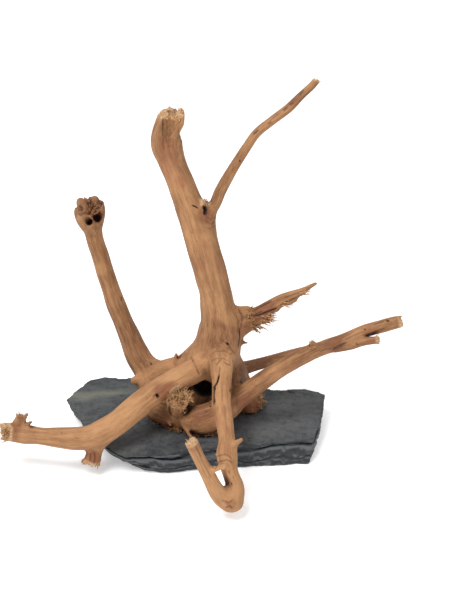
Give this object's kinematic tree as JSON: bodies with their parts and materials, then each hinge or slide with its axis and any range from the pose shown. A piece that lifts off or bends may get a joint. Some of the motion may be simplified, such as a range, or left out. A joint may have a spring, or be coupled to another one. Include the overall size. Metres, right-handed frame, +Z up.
{
  "type": "driftwood branch on a slate base",
  "caption": "Sand-blasted driftwood root with an upright stem, spreading broken limbs and a bent front limb, held upright on a cleft slate slab as aquarium or terrarium decor.",
  "frame": {"origin": "on the slate's flat underside, near the middle of the slab", "axes": "+Z up out of the slate, +X towards the viewer's right along the slab's long side, -Y towards the viewer, where the bent front limb reaches"},
  "size_m": [0.2401, 0.152, 0.2177],
  "materials": {
    "wood": "peeled and sand-blasted root wood, bare and matt",
    "slate": "naturally cleft slate with chipped edges, satin",
    "screw_steel": "plain stainless"
  },
  "bodies": {
    "root": {"slate_base": "slate", "fixing_screw": "screw_steel", "root_stock": "wood", "main_stem": "wood", "upper_twig": "wood", "front_limb": "wood", "front_hook": "wood", "left_back_limb": "wood", "left_front_limb": "wood", "broken_side_limb": "wood", "right_long_limb": "wood", "back_right_limb": "wood", "frayed_stub": "wood"}
  },
  "joints": []
}
